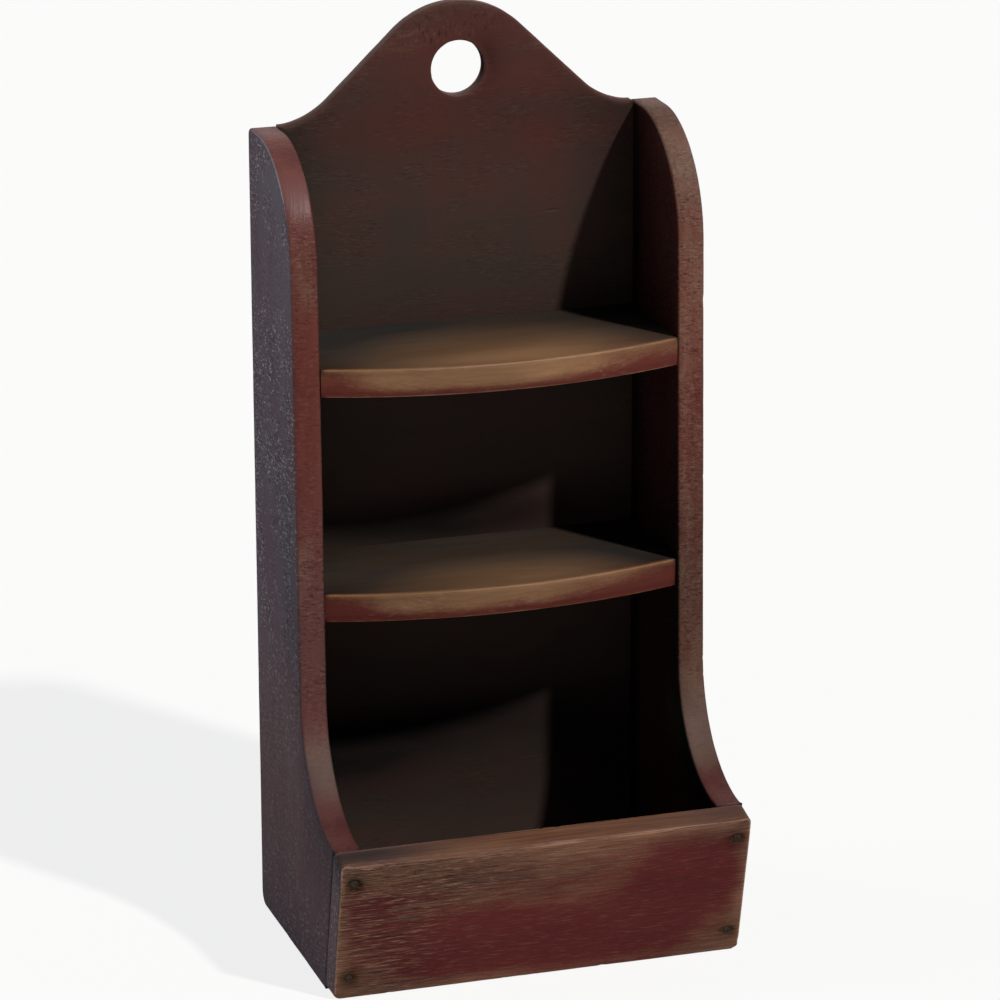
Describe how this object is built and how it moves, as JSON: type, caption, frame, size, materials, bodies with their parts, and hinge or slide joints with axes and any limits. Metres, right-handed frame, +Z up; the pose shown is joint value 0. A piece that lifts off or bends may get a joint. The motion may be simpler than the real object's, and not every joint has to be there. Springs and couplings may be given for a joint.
{
  "type": "hanging wall shelf",
  "caption": "Hanging wall shelf: crested back with a hanging hole, shaped sides, bowed shelves and an open bin with a leaning front.",
  "frame": {"origin": "middle of the base of the overall box: on the base plane, halfway across and halfway from the wall face to the front board", "axes": "+Z up, +Y towards the wall (the front faces -Y), +X to the right seen from the front"},
  "size_m": [0.24, 0.173, 0.5294],
  "materials": {
    "painted_board": "old red milk paint, worn through to brown pine on edges and faces",
    "painted_back": "dark red-brown paint, rubbed and grimy",
    "worn_shelf": "red paint worn to bare brown pine on the top and front edge",
    "nail_iron": "dark oxidised iron"
  },
  "bodies": {
    "root": {"left_side": "painted_board", "right_side": "painted_board", "back_board": "painted_back", "upper_shelf": "worn_shelf", "lower_shelf": "worn_shelf", "bottom_board": "painted_back", "front_board": "painted_board", "front_board_nails": "nail_iron", "upper_shelf_nails": "nail_iron", "lower_shelf_nails": "nail_iron", "bottom_board_nails": "nail_iron", "back_edge_nails": "nail_iron", "back_face_nails": "nail_iron"}
  },
  "joints": []
}
